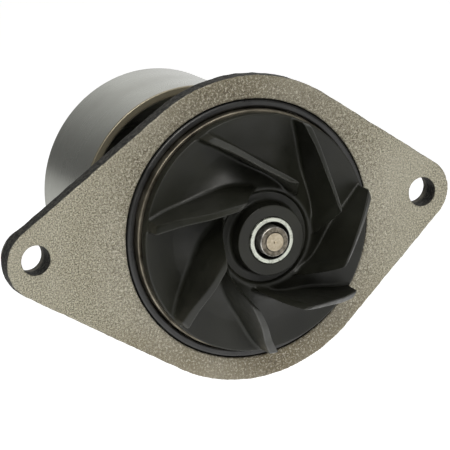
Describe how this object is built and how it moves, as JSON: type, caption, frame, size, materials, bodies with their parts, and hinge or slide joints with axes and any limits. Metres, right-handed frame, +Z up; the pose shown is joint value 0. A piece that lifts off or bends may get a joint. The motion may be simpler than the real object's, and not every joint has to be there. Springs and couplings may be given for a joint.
{
  "type": "water pump",
  "caption": "Engine coolant pump with a two-eared cast flange, swept-vane moulded impeller, face seal and smooth flat-belt pulley on a ball-and-roller bearing shaft.",
  "frame": {"origin": "on the shaft axis, in the plane of the flange's mounting face", "axes": "+Y along the shaft from the impeller to the pulley, +X along the ears towards the short ear, +Z up"},
  "size_m": [0.1465, 0.1058, 0.0947],
  "materials": {
    "cast_iron": "shot-blasted grey iron, speckled beige grey on the face, dark raw casting at the edge and back",
    "rubber": "black moulded rubber, soft sheen",
    "impeller_plastic": "charcoal glass-filled plastic, satin",
    "turned_steel": "fine turned steel with circular machining marks",
    "insert_steel": "bright machined bush",
    "bearing_steel": "ground and polished bearing steel",
    "spring_steel": "drawn wire",
    "brass": "pressed brass sheet",
    "carbon": "lapped carbon",
    "ceramic": "lapped ceramic",
    "cage_nylon": "moulded nylon"
  },
  "bodies": {
    "housing": {"housing": "cast_iron", "flange_seal": "rubber", "bearing_outer_ring": "bearing_steel", "bearing_seal_front": "rubber", "bearing_seal_rear": "rubber", "seal_cup": "brass", "seal_bellows": "rubber", "seal_spring": "spring_steel", "seal_carbon": "carbon"},
    "rotor": {"shaft": "turned_steel", "pulley": "turned_steel", "impeller": "impeller_plastic", "impeller_insert": "insert_steel", "mating_ring": "ceramic", "mating_boot": "rubber", "slinger": "brass"},
    "ball_row": {"ball_cage": "cage_nylon", "ball_1": "bearing_steel", "ball_2": "bearing_steel", "ball_3": "bearing_steel", "ball_4": "bearing_steel", "ball_5": "bearing_steel", "ball_6": "bearing_steel", "ball_7": "bearing_steel"},
    "roller_row": {"roller_cage": "cage_nylon", "roller_1": "bearing_steel", "roller_2": "bearing_steel", "roller_3": "bearing_steel", "roller_4": "bearing_steel", "roller_5": "bearing_steel", "roller_6": "bearing_steel", "roller_7": "bearing_steel", "roller_8": "bearing_steel"}
  },
  "joints": [
    {"name": "shaft_spin", "type": "hinge", "parent": "housing", "child": "rotor", "pos_m": [0, 0.03, 0], "axis": [0, 1, 0], "continuous": true},
    {"name": "ball_row_orbit", "type": "hinge", "parent": "housing", "child": "ball_row", "pos_m": [0, 0.0255, 0], "axis": [0, 1, 0], "continuous": true},
    {"name": "roller_row_orbit", "type": "hinge", "parent": "housing", "child": "roller_row", "pos_m": [0, 0.045, 0], "axis": [0, 1, 0], "continuous": true}
  ],
  "couplings": [
    {"joint": "ball_row_orbit", "follows": "shaft_spin", "ratio": 0.319},
    {"joint": "roller_row_orbit", "follows": "shaft_spin", "ratio": 0.349}
  ]
}
